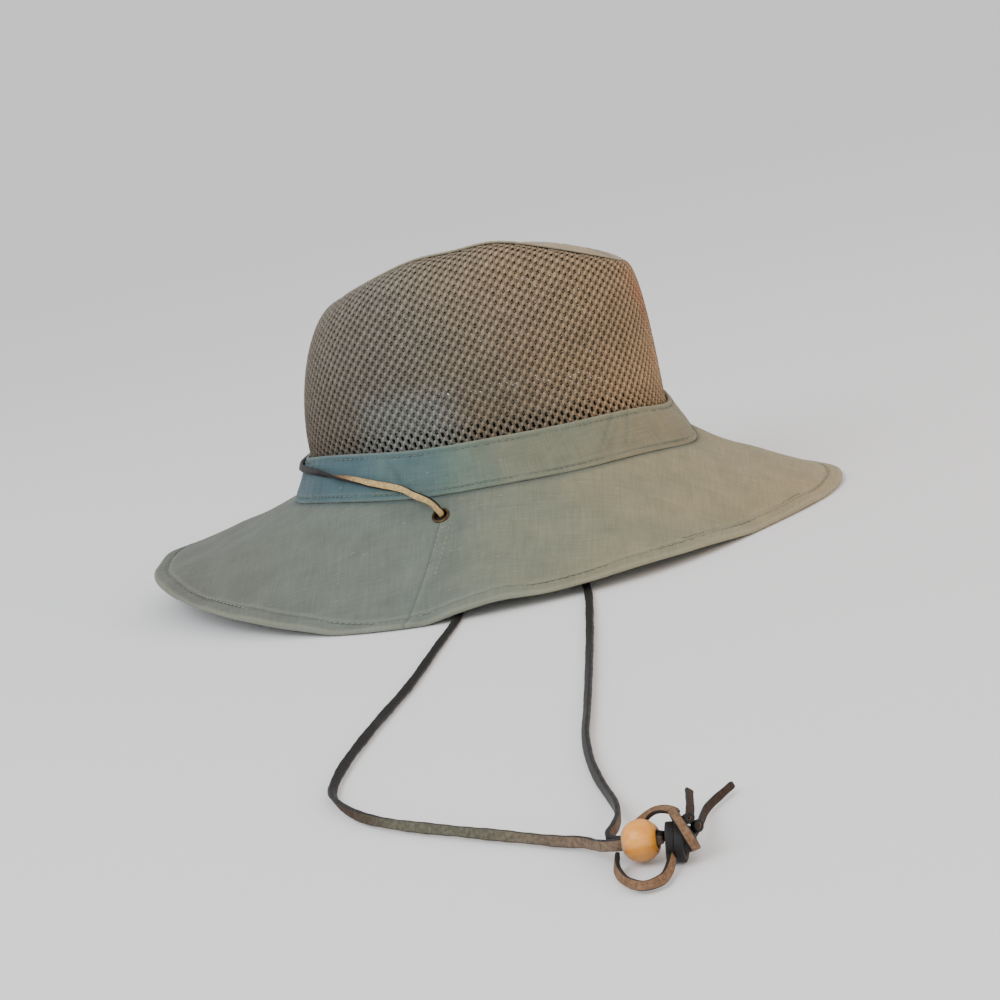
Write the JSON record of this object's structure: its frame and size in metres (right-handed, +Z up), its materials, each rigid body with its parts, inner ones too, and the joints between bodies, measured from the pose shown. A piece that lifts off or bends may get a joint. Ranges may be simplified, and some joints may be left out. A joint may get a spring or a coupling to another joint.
{
  "type": "safari hat",
  "caption": "Wide-brimmed safari hat with a knitted mesh crown, dented cloth top, sewn band and a leather chin lace with a wooden bead.",
  "frame": {"origin": "centre of the hat's bounding box, without the loose lace, on the surface it rests on", "axes": "+X towards the front of the brim, +Y towards the far side, +Z up; the loose lace lies out along -Y"},
  "size_m": [0.358, 0.6429, 0.1541],
  "materials": {
    "brim_canvas": "washed canvas, faded grey-green to tan",
    "band_canvas": "washed canvas, faded",
    "crown_knit": "open knitted mesh",
    "top_canvas": "washed canvas",
    "antique_brass": "dark antique",
    "leather": "smooth dark face and tan suede back",
    "wood": "lacquered"
  },
  "bodies": {
    "root": {"brim": "brim_canvas", "hatband": "band_canvas", "crown_mesh": "crown_knit", "crown_top": "top_canvas", "eyelet_near": "antique_brass", "eyelet_far": "antique_brass", "lace_round_crown": "leather", "chin_lace_near": "leather", "chin_lace_far": "leather", "bead": "wood", "lace_knot": "leather", "lace_loop_lower": "leather", "lace_loop_upper": "leather", "lace_end_short": "leather", "lace_end_long": "leather"}
  },
  "joints": []
}
